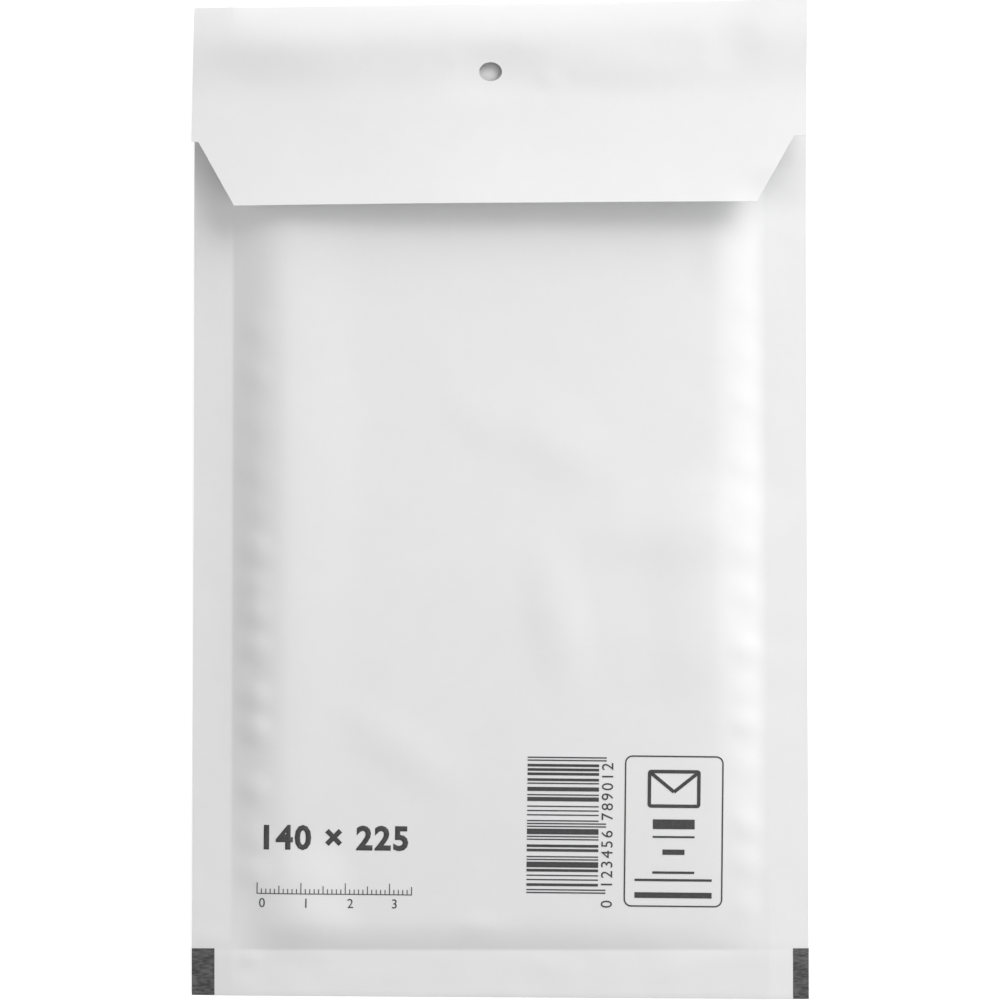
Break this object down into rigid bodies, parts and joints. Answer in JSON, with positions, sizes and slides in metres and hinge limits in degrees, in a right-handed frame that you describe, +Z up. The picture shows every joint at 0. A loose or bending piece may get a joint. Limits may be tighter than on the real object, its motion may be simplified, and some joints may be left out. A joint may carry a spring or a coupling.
{
  "type": "padded envelope",
  "caption": "Small white bubble-lined mailing envelope lying on its front, with sealed side and bottom seams and a hanging-hole flap folded loosely over its back.",
  "frame": {"origin": "centre of the envelope's outline, on the surface it lies on", "axes": "+Z up, out of the back that carries the flap; +Y from the bottom fold to the flap's fold; X across the width"},
  "size_m": [0.1404, 0.2273, 0.014],
  "materials": {
    "white_kraft_paper": "matt, machine-glazed white kraft paper",
    "bubble_film": "clear soft polyethylene",
    "clear_adhesive": "tacky hot-melt film",
    "release_paper": "smooth silicone-coated paper",
    "black_ink": "matt printing ink on the paper"
  },
  "bodies": {
    "root": {"paper_cover": "white_kraft_paper", "bubble_liner": "bubble_film", "adhesive_strip": "clear_adhesive", "release_liner": "release_paper"}
  },
  "joints": []
}
